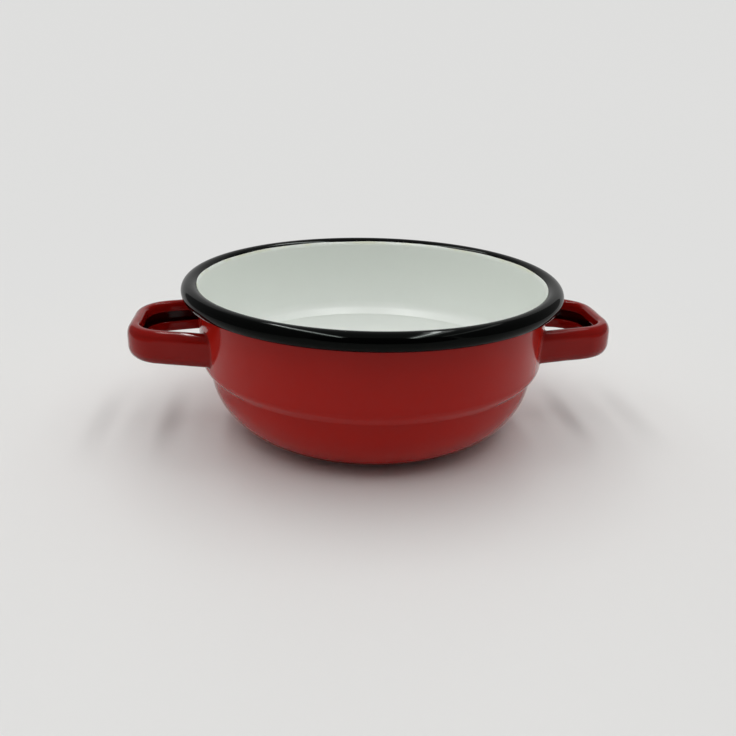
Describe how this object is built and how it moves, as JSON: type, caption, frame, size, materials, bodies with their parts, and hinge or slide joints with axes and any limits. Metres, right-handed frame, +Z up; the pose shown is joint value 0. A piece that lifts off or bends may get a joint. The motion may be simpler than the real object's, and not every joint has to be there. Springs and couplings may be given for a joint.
{
  "type": "soup bowl",
  "caption": "Enamelled steel soup bowl with a stepped wall, a rolled dark rim, a pale lining and welded strap handles on opposite sides.",
  "frame": {"origin": "centre of the base's underside, on the surface the bowl stands on", "axes": "+X towards the right handle, +Z up along the bowl's axis"},
  "size_m": [0.2042, 0.16, 0.0654],
  "materials": {
    "steel": "bare drawn sheet, hidden under the enamel",
    "white_enamel": "glossy fired enamel",
    "red_enamel": "glossy fired enamel",
    "black_enamel": "glossy fired enamel"
  },
  "bodies": {
    "root": {"bowl_shell": "steel", "white_lining": "white_enamel", "red_coat": "red_enamel", "black_rim": "black_enamel", "left_handle_strap": "steel", "right_handle_strap": "steel", "left_handle_coat": "red_enamel", "right_handle_coat": "red_enamel", "left_front_weld": "steel", "left_back_weld": "steel", "right_front_weld": "steel", "right_back_weld": "steel"}
  },
  "joints": []
}
